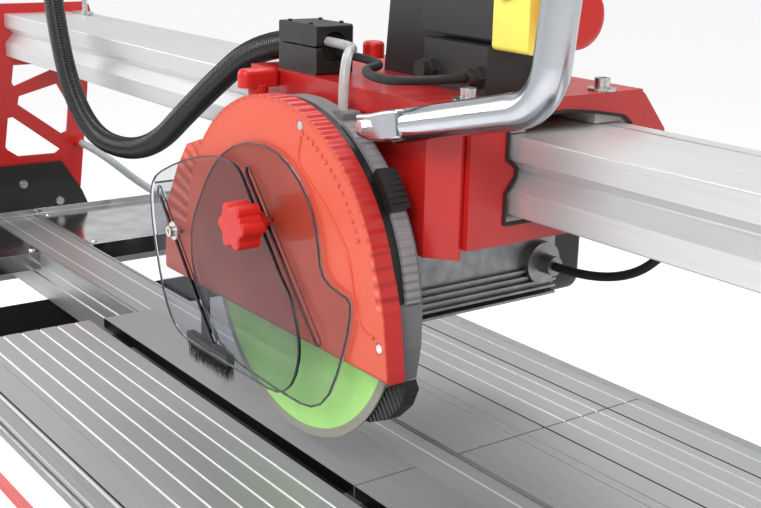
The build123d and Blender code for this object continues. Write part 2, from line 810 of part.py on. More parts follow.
# ---------------------------------------------------------------- blade guards
shell_r = 191.0
knob_x = 3.0
knob_z = 272.0
guard_screw = (-198, 216.6)
shell_screws = ((54, 378), (192, 191))
shell_face = -33.0
shell_right = [(100, 158.2), (205, 158.2), (205, 168), (197, 222), (189, 249), (178, 275), (160, 300), (100, 300)]
shell_left = [(-100, 158.2), (-242, 158.2), (-242, 180), (-236, 240), (-203, 296), (-184, 320), (-150, 331), (-100, 331)]
with BuildPart() as front_shell:
    with BuildSketch(front.offset(12)):
        with Locations((0, spindle_z)):
            Circle(shell_r)
        Polygon(shell_right, align=None)
        Polygon(shell_left, align=None)
        with Locations((0, 58.2)):
            Rectangle(520, 200, mode=Mode.SUBTRACT)
    extrude(amount=21)
    fillet(front_shell.edges().group_by(Axis.Y)[0].sort_by(Edge.length)[-1], 6)
    with BuildSketch(front.offset(12)):
        with Locations((0, spindle_z)):
            Circle(shell_r - 2.5)
        Polygon([(100, 150), (202.5, 150), (202.5, 167.8), (194.5, 221.5), (186.5, 248), (175.5, 274), (158, 298),
                 (100, 290)], align=None)
        Polygon([(-100, 150), (-239.5, 150), (-239.5, 180), (-233.6, 239.2), (-201, 294.6), (-182.6, 317.9),
                 (-150, 328), (-100, 328)], align=None)
        with Locations((0, 58)):
            Rectangle(520, 200, mode=Mode.SUBTRACT)
        with Locations((-18.5, 156)):
            Rectangle(442, 10)
    extrude(amount=18.5, mode=Mode.SUBTRACT)
    with BuildSketch(front.offset(12)):
        for x, z in shell_screws:
            with Locations((x, z)):
                Circle(7)
    extrude(amount=19)
    with BuildSketch(front.offset(33)):
        for x, z in shell_screws:
            with Locations((x, z)):
                Circle(5)
    extrude(amount=-3, mode=Mode.SUBTRACT)
    with BuildSketch(front.offset(31)):
        with Locations((knob_x, knob_z), guard_screw):
            Circle(8)
    extrude(amount=-7)
    with BuildSketch(front.offset(34)):
        with Locations((knob_x, knob_z)):
            Circle(5.05)
        with Locations(guard_screw):
            Circle(4)
    extrude(amount=-12, mode=Mode.SUBTRACT)
front_shell.part.label = "front_shell"
export_step(front_shell.part, "parts/front_shell.step")

back_r = 188.0
with BuildPart() as back_shell:
    with BuildSketch(front.offset(-20)):
        with Locations((0, spindle_z)):
            Circle(back_r)
        with Locations((0, 50)):
            Rectangle(400, 200, mode=Mode.SUBTRACT)
        Polygon([(108, 150), (147, 129), (182, 148), (188, 183), (188, 225), (138, 225)], align=None)
        with Locations((0, spindle_z)):
            Circle(22, mode=Mode.SUBTRACT)
    extrude(amount=31.5)
    with BuildSketch(front.offset(-17.5)):
        with Locations((0, spindle_z)):
            Circle(back_r - 2.5)
        with Locations((0, 49)):
            Rectangle(400, 200, mode=Mode.SUBTRACT)
        Polygon([(106, 154), (147, 132), (179.8, 149.5), (185.5, 183.4), (185.5, 222.5), (138, 222.5)],
                align=None)
        with Locations((-30, 152)):
            Rectangle(296, 12)
    extrude(amount=32, mode=Mode.SUBTRACT)
    with BuildSketch(front.offset(-36)):
        for x, z in ((-70, 340), (70, 340), (0, 285)):
            with Locations((x, z)):
                Circle(9)
    extrude(amount=17)
    with BuildSketch(top.offset(364)):
        with Locations((-94, 8)):
            Circle(10)
    extrude(amount=20)
    with BuildSketch(front.offset(-27)):
        with Locations((62, 368)):
            RectangleRounded(20, 44, 3)
    extrude(amount=22)
    with BuildSketch(front.offset(-5)):
        with Locations((0, spindle_z)):
            Circle(183)
    extrude(amount=20, mode=Mode.SUBTRACT)
    with BuildSketch(top.offset(366)):
        with Locations((-94, 8)):
            Circle(4.05)
    extrude(amount=20, mode=Mode.SUBTRACT)
back_shell.part.label = "back_shell"
export_step(back_shell.part, "parts/back_shell.step")

# ribbed wear strip round the back shell, with a clip that slides along it
with BuildPart() as strap:
    with BuildSketch(front.offset(-15)):
        with Locations((0, spindle_z)):
            Circle(192)
            Circle(188.2, mode=Mode.SUBTRACT)
        Polygon([(0, spindle_z), (0, 460), (-260, 460), (-260, -60), (260, -60), (260, 230), (206, 230)],
                align=None, mode=Mode.SUBTRACT)
        Polygon([(0, spindle_z), (0, 480), (125.6, 480)], align=None, mode=Mode.SUBTRACT)
    extrude(amount=16)
strap.part.label = "strap"
export_step(strap.part, "parts/strap.step")

clip_angles = [math.radians(32 + 2 * k) for k in range(7)]
clip_outline = [(203 * math.cos(a), 203 * math.sin(a)) for a in clip_angles]
clip_outline += [(192.4 * math.cos(a), 192.4 * math.sin(a)) for a in reversed(clip_angles)]
with BuildPart() as strap_slider:
    with BuildSketch(front.offset(-15)):
        with Locations((0, spindle_z)):
            Polygon(clip_outline, align=None)
    extrude(amount=22)
strap_slider.part.label = "strap_slider"
export_step(strap_slider.part, "parts/strap_slider.step")

with BuildPart() as boot:
    with BuildSketch(front.offset(-20)):
        Polygon([(148, 128.6), (181.5, 146.8), (187, 138), (178, 118), (158, 99), (130, 86), (114, 83), (107, 88),
                 (110, 98), (126, 115)], align=None)
    extrude(amount=16.5)
boot.part.label = "boot"
export_step(boot.part, "parts/boot.step")

with BuildPart() as brush:
    with BuildSketch(front.offset(24)):
        with Locations((-141, 86)):
            Rectangle(98, 18)
        for x in range(-187, -93, 6):
            with Locations((x, 67)):
                Rectangle(4.5, 24)
    extrude(amount=11)
    with BuildSketch(front.offset(28)):
        with Locations((-150, 137)):
            Rectangle(22, 100)
    extrude(amount=2.5)
brush.part.label = "brush"
export_step(brush.part, "parts/brush.step")

guard_right_outline = [
    (-110, 309), (-91, 325), (-68, 337), (-40, 346), (-12, 349), (17, 346), (41, 337), (60, 325), (74, 312),
    (84, 298), (91, 283), (96, 265), (99, 248), (105, 238.5), (117, 232.5), (135, 229.5), (146, 228), (151, 223),
    (151, 212), (147, 192), (139, 168), (131, 147), (118, 122), (103, 106), (86, 97), (66, 93.5), (40, 93), (-60, 97),
    (-100, 108), (-125, 127), (-143, 148), (-156, 169), (-163, 185), (-166, 200), (-165, 222), (-157, 244),
    (-141, 269), (-126, 291),
]
with BuildPart() as guard_right:
    with BuildSketch(front.offset(35)):
        Polygon(guard_right_outline, align=None)
        with Locations((29.3, 243.2)):
            SlotOverall(208, 11, rotation=-47.6, mode=Mode.SUBTRACT)
    extrude(amount=3)
guard_right.part.label = "guard_right"
export_step(guard_right.part, "parts/guard_right.step")

guard_front_outline = [
    (-104, 321), (-132, 315.5), (-158, 308), (-180, 301), (-200, 293.5), (-227, 282), (-243, 273), (-252, 264),
    (-257, 253), (-258, 240), (-256, 220), (-252, 200), (-246, 178), (-239, 156), (-231, 136), (-222, 120),
    (-213, 109), (-203, 101), (-191, 95), (-176, 92), (-60, 92), (9, 92.5), (30, 95), (44, 101), (55, 110), (64, 124),
    (69, 139), (71, 152), (70, 166), (66, 180), (59, 196), (50, 208.5), (34.7, 222.8), (-40.9, 310.8), (-50, 318),
    (-62, 321.5), (-80, 322.5),
]
with BuildPart() as guard_front:
    with BuildSketch(front.offset(41)):
        Polygon(guard_front_outline, align=None)
        with Locations((-169.3, 183.2)):
            SlotOverall(206, 11, rotation=-49.3, mode=Mode.SUBTRACT)
    extrude(amount=3)
    with BuildSketch(front.offset(16)):
        Polygon([(-252, 264), (-257, 253), (-258, 240), (-256, 220), (-252, 200), (-249, 200.7), (-253, 220.4),
                 (-255, 240), (-254.2, 252.2), (-249.6, 262.1)], align=None)
    extrude(amount=26)
guard_front.part.label = "guard_front"
export_step(guard_front.part, "parts/guard_front.step")

with BuildPart() as guard_knob:
    with BuildSketch(front.offset(25)):
        with Locations((knob_x, knob_z)):
            Circle(5)
    extrude(amount=21.5)
    with BuildSketch(front.offset(46)):
        with Locations((knob_x, knob_z)):
            Circle(11.5)
    extrude(amount=11)
    with BuildSketch(front.offset(57)):
        with Locations((knob_x, knob_z)):
            Circle(20)
        for k in range(6):
            with Locations((knob_x + 18.5 * math.cos(k * math.pi / 3), knob_z + 18.5 * math.sin(k * math.pi / 3))):
                Circle(7)
    extrude(amount=26)
    fillet(guard_knob.edges().group_by(Axis.Y)[0], 2.5)
guard_knob.part.label = "guard_knob"
export_step(guard_knob.part, "parts/guard_knob.step")

with BuildPart() as head_screws:
    for x in (105, 124):
        with BuildSketch(front.offset(-39)):
            with Locations((x, 381.5)):
                Circle(3)
        extrude(amount=12)
        with BuildSketch(front.offset(-27)):
            with Locations((x, 381.5)):
                RegularPolygon(6, 6)
        extrude(amount=5)
    for x, z in shell_screws:
        with BuildSketch(front.offset(30)):
            with Locations((x, z)):
                Circle(4.5)
        extrude(amount=3)
    with BuildSketch(front.offset(26)):
        with Locations(guard_screw):
            Circle(4)
    extrude(amount=19)
    with BuildSketch(front.offset(44.4)):
        with Locations(guard_screw):
            Circle(11)
    extrude(amount=1.6)
    with BuildSketch(front.offset(46)):
        with Locations(guard_screw):
            Circle(6.5)
    extrude(amount=6)
    with BuildSketch(front.offset(49)):
        with Locations(guard_screw):
            RegularPolygon(3.4, 6)
    extrude(amount=3, mode=Mode.SUBTRACT)
head_screws.part.label = "head_screws"
export_step(head_screws.part, "parts/head_screws.step")

# ---------------------------------------------------------------- hoses and cables
cords = (
    ("conduit", conduit_r, conduit_r - conduit_wall,
     [(-36, 65, 440), (-166, 65, 440), (-325, 65, 352), (-505, 65, 236), (-735, 65, 241), (-858, 75, 450),
      (-955, 120, 700), (-1139, 258, 700)]),
    ("switch_cable", 4.5, 0,
     [(-36, 71, 433), (60, 71, 433), (92, 8, 433), (150, 8, 428), (150, 92, 428)]),
    ("water_tube", 5.0, 3.5,
     [(-36, 57, 446), (22, 57, 446), (62, 12, 446), (62, 12, 390)]),
    ("motor_cable", 5.0, 0,
     [(104, 274, 200), (200, 274, 200), (258, 306, 266), (260, 306, 332), (199, 306, 332)]),
    ("pump_hose", 7.0, 5.0,
     [(-1160, 243, 131), (-1090, 243, 131), (-1060, 330, 50), (-985, 388, 16), (-880, 380, 25),
      (-700, 330, 40), (-700, 330, -75)]),
)
for name, outer_r, inner_r, route in cords:
    radii = []
    for before, corner, after in zip(route, route[1:], route[2:]):
        run_in = Vector(*corner) - Vector(*before)
        run_out = Vector(*after) - Vector(*corner)
        half_turn = math.radians(run_in.get_angle(run_out)) / 2
        radii.append(0.45 * min(run_in.length, run_out.length) / math.tan(half_turn))
    with BuildPart() as cord:
        with BuildLine(top) as cord_line:
            FilletPolyline(*route, radius=radii)
        with BuildSketch(Plane(origin=cord_line.line @ 0, z_dir=cord_line.line % 0)):
            Circle(outer_r)
            if inner_r > 0:
                Circle(inner_r, mode=Mode.SUBTRACT)
        sweep()
    cord.part.label = name
    export_step(cord.part, "parts/" + name + ".step")
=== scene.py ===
import math
import random
import bpy
import bmesh
from mathutils import Matrix, Vector


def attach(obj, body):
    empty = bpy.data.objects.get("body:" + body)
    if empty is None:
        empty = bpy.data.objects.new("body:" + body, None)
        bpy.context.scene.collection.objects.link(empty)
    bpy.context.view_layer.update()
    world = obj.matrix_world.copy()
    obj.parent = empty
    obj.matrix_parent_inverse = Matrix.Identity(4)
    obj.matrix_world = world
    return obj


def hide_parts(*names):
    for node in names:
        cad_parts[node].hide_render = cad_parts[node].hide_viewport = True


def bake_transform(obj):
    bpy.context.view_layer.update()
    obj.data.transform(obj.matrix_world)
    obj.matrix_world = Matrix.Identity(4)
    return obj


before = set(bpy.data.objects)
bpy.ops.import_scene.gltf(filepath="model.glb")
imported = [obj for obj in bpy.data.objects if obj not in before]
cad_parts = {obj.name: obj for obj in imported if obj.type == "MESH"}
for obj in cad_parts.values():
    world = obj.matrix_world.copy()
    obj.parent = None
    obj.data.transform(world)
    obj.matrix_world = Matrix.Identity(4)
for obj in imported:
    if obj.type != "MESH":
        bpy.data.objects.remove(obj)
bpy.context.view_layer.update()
random.seed(7)

# Where the CAD's own datum lies in the row frame: in the blade plane, at the table top, under the spindle.
DX, DY, DZ = 0.2875, -0.104, 0.8
# Height of the spindle above the datum, in millimetres like every point given to at().
SPINDLE_Z = 208.4


def at(x, y, z):
    """Row-frame point, in metres, of a point in millimetres from the datum."""
    return Vector((x / 1000 + DX, y / 1000 + DY, z / 1000 + DZ))


BLADE_CENTRE = at(0, 0, SPINDLE_Z)

# ------------------------------------------------------------------ camera
cam = bpy.data.cameras.new("cam")
cam.lens = 57.93
cam.sensor_width = 36.0
cam.clip_end = 300
cam_ob = bpy.data.objects.new("cam", cam)
bpy.context.scene.collection.objects.link(cam_ob)
cam_ob.matrix_world = Matrix((
    (0.58719, -0.23561, 0.77440, 1.3348),
    (0.80914, 0.14420, -0.56966, -0.7669),
    (0.02255, 0.96109, 0.27531, 1.3866),
    (0, 0, 0, 1),
))
bpy.context.scene.camera = cam_ob
bpy.context.scene.view_settings.view_transform = "Standard"


# ------------------------------------------------------------------ materials
class Nodes:
    """Small helper that wires one Principled material."""

    def __init__(self, name, color, rough=0.5, metal=0.0, coat=0.0, spec=0.5):
        self.mat = bpy.data.materials.new(name)
        self.mat.use_nodes = True
        self.tree = self.mat.node_tree
        self.bsdf = self.tree.nodes["Principled BSDF"]
        self.bsdf.inputs["Base Color"].default_value = (*color, 1)
        self.bsdf.inputs["Roughness"].default_value = rough
        self.bsdf.inputs["Metallic"].default_value = metal
        self.bsdf.inputs["Coat Weight"].default_value = coat
        self.bsdf.inputs["Specular IOR Level"].default_value = spec
        self.color = (*color, 1)
        self.color_out = None
        self.rough = rough
        self.normal_out = None
        self.mat.diffuse_color = self.color
        coords = self.tree.nodes.new("ShaderNodeTexCoord")
        self.obj = coords.outputs["Object"]

    def link(self, a, b):
        self.tree.links.new(a, b)

    def mapped(self, scale):
        node = self.tree.nodes.new("ShaderNodeMapping")
        node.inputs["Scale"].default_value = scale
        self.link(self.obj, node.inputs["Vector"])
        return node.outputs["Vector"]

    def noise(self, scale, detail=3.0, rough=0.6, stretch=(1, 1, 1)):
        node = self.tree.nodes.new("ShaderNodeTexNoise")
        node.inputs["Scale"].default_value = scale
        node.inputs["Detail"].default_value = detail
        node.inputs["Roughness"].default_value = rough
        self.link(self.mapped(stretch), node.inputs["Vector"])
        return node.outputs["Fac"]

    def ramp(self, fac, lo, hi, a=0.0, b=1.0):
        node = self.tree.nodes.new("ShaderNodeMapRange")
        node.inputs["From Min"].default_value = lo
        node.inputs["From Max"].default_value = hi
        node.inputs["To Min"].default_value = a
        node.inputs["To Max"].default_value = b
        self.link(fac, node.inputs["Value"])
        return node.outputs["Result"]

    def math(self, op, a, b):
        node = self.tree.nodes.new("ShaderNodeMath")
        node.operation = op
        for i, v in enumerate((a, b)):
            if isinstance(v, (int, float)):
                node.inputs[i].default_value = v
            else:
                self.link(v, node.inputs[i])
        return node.outputs[0]

    def axis(self, which):
        node = self.tree.nodes.new("ShaderNodeSeparateXYZ")
        self.link(self.obj, node.inputs[0])
        return node.outputs[which]

    def tint(self, fac, color):
        node = self.tree.nodes.new("ShaderNodeMix")
        node.data_type = "RGBA"
        if self.color_out is None:
            node.inputs[6].default_value = self.color
        else:
            self.link(self.color_out, node.inputs[6])
        node.inputs[7].default_value = (*color, 1)
        self.link(fac, node.inputs[0])
        self.color_out = node.outputs[2]
        return self

    def vary(self, scale=14.0, amount=0.12, stretch=(1, 1, 1)):
        c = self.color
        fac = self.ramp(self.noise(scale, 4.0, 0.6, stretch), 0.35, 0.65)
        dark = tuple(max(0.0, v * (1 - amount)) for v in c[:3])
        return self.tint(fac, dark)

    def rough_noise(self, scale, lo, hi, stretch=(1, 1, 1)):
        out = self.ramp(self.noise(scale, 3.0, 0.6, stretch), 0.3, 0.7, lo, hi)
        self.link(out, self.bsdf.inputs["Roughness"])
        return self

    def bump(self, height, strength, distance=0.001):
        node = self.tree.nodes.new("ShaderNodeBump")
        node.inputs["Strength"].default_value = strength
        node.inputs["Distance"].default_value = distance
        self.link(height, node.inputs["Height"])
        if self.normal_out is not None:
            self.link(self.normal_out, node.inputs["Normal"])
        self.normal_out = node.outputs["Normal"]
        return self

    def polar(self, centre):
        """Angle and radius about an axis along Y through a point in the row frame."""
        dx = self.math("SUBTRACT", self.axis(0), centre.x)
        dz = self.math("SUBTRACT", self.axis(2), centre.z)
        angle = self.math("ARCTAN2", dz, dx)
        squares = self.math("ADD", self.math("MULTIPLY", dx, dx), self.math("MULTIPLY", dz, dz))
        radius = self.math("SQRT", squares, 0)
        return angle, radius

    def ribs(self, value, count, strength, distance, mask=None):
        wave = self.math("SINE", self.math("MULTIPLY", value, count), 0)
        if mask is not None:
            wave = self.math("MULTIPLY", wave, mask)
        return self.bump(wave, strength, distance)

    def soft_edges(self, radius=0.0008):
        node = self.tree.nodes.new("ShaderNodeBevel")
        node.samples = 4
        node.inputs["Radius"].default_value = radius
        if self.normal_out is not None:
            self.link(self.normal_out, node.inputs["Normal"])
        self.normal_out = node.outputs["Normal"]
        return self

    def done(self):
        if self.color_out is not None:
            self.link(self.color_out, self.bsdf.inputs["Base Color"])
        if self.normal_out is not None:
            self.link(self.normal_out, self.bsdf.inputs["Normal"])
        return self.mat


def painted(name, color, rough=0.32):
    m = Nodes(name, color, rough, coat=0.25)
    m.vary(9, 0.10).vary(55, 0.06)
    m.rough_noise(30, rough - 0.06, rough + 0.1)
    m.soft_edges(0.0009)
    m.bump(m.noise(420, 2.0), 0.10, 0.0004)
    return m.done()


def plastic(name, color, rough=0.42, grain=900, strength=0.25):
    m = Nodes(name, color, rough, spec=0.45)
    m.vary(20, 0.08)
    m.rough_noise(60, rough - 0.05, rough + 0.08)
    m.soft_edges(0.0009)
    m.bump(m.noise(grain, 2.0), strength, 0.0003)
    return m.done()


def metal(name, color, rough=0.3, stretch=(1, 60, 60), scale=8.0, edge=0.0006):
    m = Nodes(name, color, rough, metal=1.0)
    m.vary(scale, 0.12, stretch)
    m.rough_noise(scale * 2, rough - 0.07, rough + 0.1, stretch)
    m.soft_edges(edge)
    m.bump(m.noise(scale * 6, 2.0, 0.6, stretch), 0.12, 0.0004)
    return m.done()


def line_mask(m, axis, positions, half):
    """1 within half of any position along the axis, in row-frame metres."""
    value = m.axis(axis)
    total = None
    for p in positions:
        d = m.math("ABSOLUTE", m.math("SUBTRACT", value, p), 0)
        hit = m.math("LESS_THAN", d, half)
        total = hit if total is None else m.math("MAXIMUM", total, hit)
    return total


# The blade's slot in the table, along Y from the datum, where the plates get a painted shadow, and the
# width of the lines and grooves beside it.
SLOT_FRONT, SLOT_REAR = -0.01108, 0.01008
LINE_HALF, GROOVE_HALF = 0.0016, 0.0013


def table_plate(name, lines, base=(0.44, 0.445, 0.455), dark=()):
    """Brushed plate with bright lines and dark grooves at the given distances along Y, in millimetres."""
    m = Nodes(name, base, 0.42, metal=0.55)
    m.vary(5, 0.10, (1, 40, 40)).vary(2.2, 0.06)
    m.rough_noise(9, 0.34, 0.5, (1, 30, 30))
    if lines:
        m.tint(line_mask(m, 1, [y / 1000 + DY for y in lines], LINE_HALF), (0.82, 0.83, 0.84))
    if dark:
        m.tint(line_mask(m, 1, [y / 1000 + DY for y in dark], GROOVE_HALF), (0.03, 0.03, 0.03))
    # painted shadow: the plates' sides within the blade slot are tinted near-black for the shade in the gap
    # between the plates
    y = m.axis(1)
    behind_front = m.math("GREATER_THAN", y, SLOT_FRONT + DY)
    before_rear = m.math("LESS_THAN", y, SLOT_REAR + DY)
    slot_shadow = m.math("MULTIPLY", behind_front, before_rear)
    m.tint(slot_shadow, (0.008, 0.008, 0.009))
    m.soft_edges(0.0005)
    m.bump(m.noise(60, 2.0, 0.6, (1, 30, 30)), 0.08, 0.0003)
    return m.done()


RED_PAINT = painted("red_paint", (0.52, 0.012, 0.010), 0.34)
RED_KNOB = plastic("red_knob", (0.60, 0.016, 0.012), 0.36, 700, 0.15)
BLACK_PAINT = painted("black_paint", (0.012, 0.012, 0.013), 0.38)
BLACK_PLASTIC = plastic("black_plastic", (0.016, 0.016, 0.017), 0.48)
DARK_BOX = plastic("dark_box", (0.022, 0.022, 0.023), 0.46, 500, 0.25)
MOTOR = metal("motor_cast", (0.30, 0.30, 0.31), 0.42, (1, 1, 1), 35)
CONDUIT = plastic("conduit_black", (0.018, 0.018, 0.019), 0.22, 300, 0.05)
RUBBER = plastic("rubber", (0.014, 0.014, 0.014), 0.62, 500, 0.4)
ZINC = metal("zinc", (0.66, 0.66, 0.67), 0.26, (1, 1, 1), 60)
CHROME = metal("chrome", (0.50, 0.52, 0.55), 0.17, (1, 1, 1), 18)
beam_m = Nodes("beam_anodised", (0.68, 0.685, 0.69), 0.36, metal=0.6)
beam_m.vary(6, 0.07, (1, 50, 50))
beam_m.rough_noise(12, 0.30, 0.44, (1, 50, 50))
beam_m.soft_edges(0.0008)
beam_m.bump(beam_m.noise(36, 2.0, 0.6, (1, 50, 50)), 0.08, 0.0003)
BEAM = beam_m.done()
GALV = metal("galvanised", (0.52, 0.53, 0.54), 0.30, (1, 1, 1), 25)
SHELF = metal("shelf_sheet", (0.60, 0.61, 0.62), 0.16, (1, 1, 1), 10)
FRAME_GREY = painted("frame_grey", (0.16, 0.165, 0.17), 0.4)
TRAY = painted("tray_dark", (0.020, 0.021, 0.023), 0.35)
YELLOW = plastic("yellow", (0.95, 0.80, 0.13), 0.35, 600, 0.15)
GREEN = plastic("green", (0.02, 0.25, 0.05), 0.35, 600, 0.15)
WHITE_PLASTIC = plastic("white_plastic", (0.62, 0.62, 0.60), 0.4, 600, 0.15)
HOSE_GREY = plastic("hose_grey", (0.36, 0.38, 0.39), 0.35, 300, 0.1)

SEGMENT_INNER_R = 0.1652
blade_m = Nodes("blade_green", (0.46, 0.90, 0.24), 0.38, coat=0.2)
blade_m.vary(25, 0.10)
blade_r = blade_m.tree.nodes.new("ShaderNodeVectorMath")
blade_r.operation = "DISTANCE"
blade_r.inputs[1].default_value = BLADE_CENTRE
blade_m.link(blade_m.obj, blade_r.inputs[0])
blade_m.tint(blade_m.math("GREATER_THAN", blade_r.outputs["Value"], SEGMENT_INNER_R), (0.30, 0.29, 0.24))
blade_m.soft_edges(0.0004)
blade_m.bump(blade_m.noise(900, 2.0), 0.3, 0.0003)
BLADE = blade_m.done()

glass_m = Nodes("guard_smoky", (0.80, 0.81, 0.84), 0.04, spec=0.5)
glass_m.bsdf.inputs["Transmission Weight"].default_value = 1.0
glass_m.bsdf.inputs["IOR"].default_value = 1.12
glass_m.vary(8, 0.08)
glass_m.rough_noise(12, 0.0, 0.06)
GLASS = glass_m.done()

rim_m = Nodes("guard_rim", (0.16, 0.17, 0.19), 0.12, spec=0.7)
rim_m.bsdf.inputs["Transmission Weight"].default_value = 0.75
rim_m.bsdf.inputs["IOR"].default_value = 1.35
rim_m.vary(30, 0.1)
RIM = rim_m.done()

tube_m = Nodes("tube_milky", (0.72, 0.74, 0.74), 0.25)
tube_m.bsdf.inputs["Transmission Weight"].default_value = 0.55
tube_m.vary(40, 0.08)
tube_m.bump(tube_m.noise(200), 0.15, 0.0004)
TUBE = tube_m.done()

TABLE_FRONT = table_plate("table_front", [-34, -60, -86, -112, -138, -164, -214], dark=[-209.5])
TABLE_CENTRE = table_plate("table_centre", [])
TABLE_REAR = table_plate("table_rear", [315, 343, 369, 420], dark=[282, 386])
CENTRE_RAIL = table_plate("centre_rail", [88, 128], (0.48, 0.485, 0.49), dark=[68, 149])

front_rail_m = Nodes("front_rail", (0.55, 0.56, 0.57), 0.34, metal=0.9)
front_rail_m.vary(5, 0.10, (1, 40, 40))
front_rail_m.tint(line_mask(front_rail_m, 1, [-0.2355 + DY], LINE_HALF), (0.85, 0.86, 0.87))
outer = front_rail_m.math("LESS_THAN", front_rail_m.axis(1), -0.2526 + DY)
front_rail_m.tint(outer, (0.80, 0.80, 0.79))
band = front_rail_m.math("MULTIPLY", outer, line_mask(front_rail_m, 2, [DZ - 0.060], 0.012))
front_rail_m.tint(band, (0.50, 0.012, 0.010))
front_rail_m.soft_edges(0.0006)
front_rail_m.rough_noise(12, 0.28, 0.42, (1, 30, 30))
FRONT_RAIL = front_rail_m.done()

back_m = Nodes("back_shell", (0.17, 0.175, 0.18), 0.45)
back_m.vary(20, 0.08)
# painted shade: the back shell ahead of the blade plane and above 227 mm is tinted near-black for the
# shadowed gap between the front and back shells
gap_shade_high = back_m.math("GREATER_THAN", back_m.axis(2), 0.227 + DZ)
gap_shade_front = back_m.math("LESS_THAN", back_m.axis(1), -0.0012 + DY)
back_m.tint(back_m.math("MULTIPLY", gap_shade_high, gap_shade_front), (0.010, 0.010, 0.010))
back_m.soft_edges(0.0009)
back_m.bump(back_m.noise(700), 0.3, 0.0003)
BACK_SHELL = back_m.done()

strap_m = Nodes("strap_ribbed", (0.26, 0.25, 0.255), 0.42)
strap_m.vary(30, 0.1)
strap_m.soft_edges(0.0004)
strap_angle, _ = strap_m.polar(BLADE_CENTRE)
strap_m.ribs(strap_angle, 150, 0.8, 0.0012)
STRAP = strap_m.done()

clip_m = Nodes("clip_ribbed", (0.012, 0.012, 0.013), 0.42)
clip_m.vary(30, 0.1)
clip_m.soft_edges(0.0008)
clip_angle, _ = clip_m.polar(BLADE_CENTRE)
clip_m.ribs(clip_angle, 210, 0.9, 0.0015)
CLIP = clip_m.done()

boot_m = Nodes("boot_ribbed", (0.014, 0.014, 0.015), 0.5)
boot_m.vary(30, 0.1)
boot_m.soft_edges(0.003)
boot_x = boot_m.math("MULTIPLY", boot_m.axis(0), 0.8)
boot_z = boot_m.math("MULTIPLY", boot_m.axis(2), 0.6)
boot_along = boot_m.math("ADD", boot_x, boot_z)
boot_m.ribs(boot_along, 900, 0.9, 0.002)
BOOT = boot_m.done()

shell_m = Nodes("shell_moulded", (0.66, 0.080, 0.036), 0.36)
shell_m.vary(9, 0.05)
# painted shade: the shell's outer wall, behind its front face, is tinted a darker red than the face
shell_m.tint(shell_m.math("GREATER_THAN", shell_m.axis(1), -0.0315 + DY), (0.52, 0.022, 0.020))
shell_m.soft_edges(0.0022)
shell_angle, shell_radius = shell_m.polar(BLADE_CENTRE)
shell_edge = shell_m.math("MULTIPLY", shell_m.math("GREATER_THAN", shell_radius, 0.1868),
                          shell_m.math("GREATER_THAN", shell_m.axis(2), 0.225 + DZ))
shell_m.ribs(shell_angle, 85, 0.9, 0.0016, shell_edge)
shell_m.bump(shell_m.noise(700, 2.0), 0.10, 0.0003)
SHELL = shell_m.done()

NODE_MATERIALS = {
    "front_rail": FRONT_RAIL, "centre_rail": CENTRE_RAIL, "rear_rail": GALV, "cross_members": FRAME_GREY,
    "shelf": SHELF, "shelf_screws": ZINC, "table_front": TABLE_FRONT, "table_centre_left": TABLE_CENTRE,
    "table_centre_right": TABLE_CENTRE, "table_rear_left": TABLE_REAR, "table_rear_right": TABLE_REAR,
    "water_tray": TRAY, "pump": BLACK_PLASTIC, "pivot_plates": BLACK_PAINT, "leg_left": FRAME_GREY,
    "leg_right": FRAME_GREY, "feet_left": RUBBER, "feet_right": RUBBER, "beam": BEAM,
    "bridge_plate_left": RED_PAINT, "bridge_plate_right": RED_PAINT, "bridge_bolts": ZINC, "hose_rod": ZINC,
    "tilt_lock_left": BLACK_PLASTIC, "tilt_lock_right": BLACK_PLASTIC, "carriage_body": RED_PAINT,
    "carriage_top": RED_PAINT, "carriage_trim": RUBBER, "rear_cover": RED_PAINT,
    "glide_blocks": WHITE_PLASTIC,
    "carriage_screws": ZINC, "hose_clamp": BLACK_PLASTIC, "switch_box": DARK_BOX, "switch_housing": YELLOW,
    "stop_button": RED_KNOB, "start_button": GREEN, "lock_knob": RED_KNOB, "wing_knob": RED_KNOB,
    "arm": RED_PAINT, "handle_tube": CHROME, "motor_body": MOTOR, "fan_cover": BLACK_PLASTIC,
    "front_shell": SHELL, "back_shell": BACK_SHELL, "strap": STRAP, "strap_slider": CLIP,
    "boot": BOOT, "brush": BLACK_PLASTIC, "head_screws": ZINC, "guard_right": GLASS, "guard_front": GLASS,
    "guard_knob": RED_KNOB, "spindle": ZINC, "blade": BLADE, "blade_clamp": ZINC,
}
for node, material in NODE_MATERIALS.items():
    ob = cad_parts[node]
    ob.data.materials.clear()
    ob.data.materials.append(material)


# ------------------------------------------------------------------ mesh helpers
def link(ob, material, body):
    bpy.context.scene.collection.objects.link(ob)
    ob.data.materials.append(material)
    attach(ob, body)
    return ob


def mesh_object(name, verts, faces, material, body):
    me = bpy.data.meshes.new(name)
    me.from_pydata([tuple(v) for v in verts], [], faces)
    me.validate()
    me.update()
    ob = bpy.data.objects.new(name, me)
    return link(ob, material, body)


def prism(name, outline, y_front, y_back, material, body):
    """Outline of (x, z) points drawn out between two depths, in millimetres from the datum."""
    n = len(outline)
    verts = [at(x, y, z) for y in (y_front, y_back) for x, z in outline]
    faces = [tuple(range(n)), tuple(range(2 * n - 1, n - 1, -1))]
    faces += [(i, n + i, n + (i + 1) % n, (i + 1) % n) for i in range(n)]
    return mesh_object(name, verts, faces, material, body)


def route_curve(name, points):
    """Open NURBS spline through a route's control points, in the row frame."""
    cu = bpy.data.curves.new(name, "CURVE")
    cu.dimensions = "3D"
    cu.resolution_u = 24
    sp = cu.splines.new("NURBS")
    sp.points.add(len(points) - 1)
    for i, p in enumerate(points):
        sp.points[i].co = (*at(*p), 1)
    sp.order_u = 3
    sp.use_endpoint_u = True
    return cu


def sampled(cu):
    """Points along a curve, as Blender evaluates it."""
    ob = bpy.data.objects.new("tmp_route", cu)
    me = bpy.data.meshes.new_from_object(ob)
    pts = [v.co.copy() for v in me.vertices]
    bpy.data.objects.remove(ob)
    bpy.data.meshes.remove(me)
    return pts


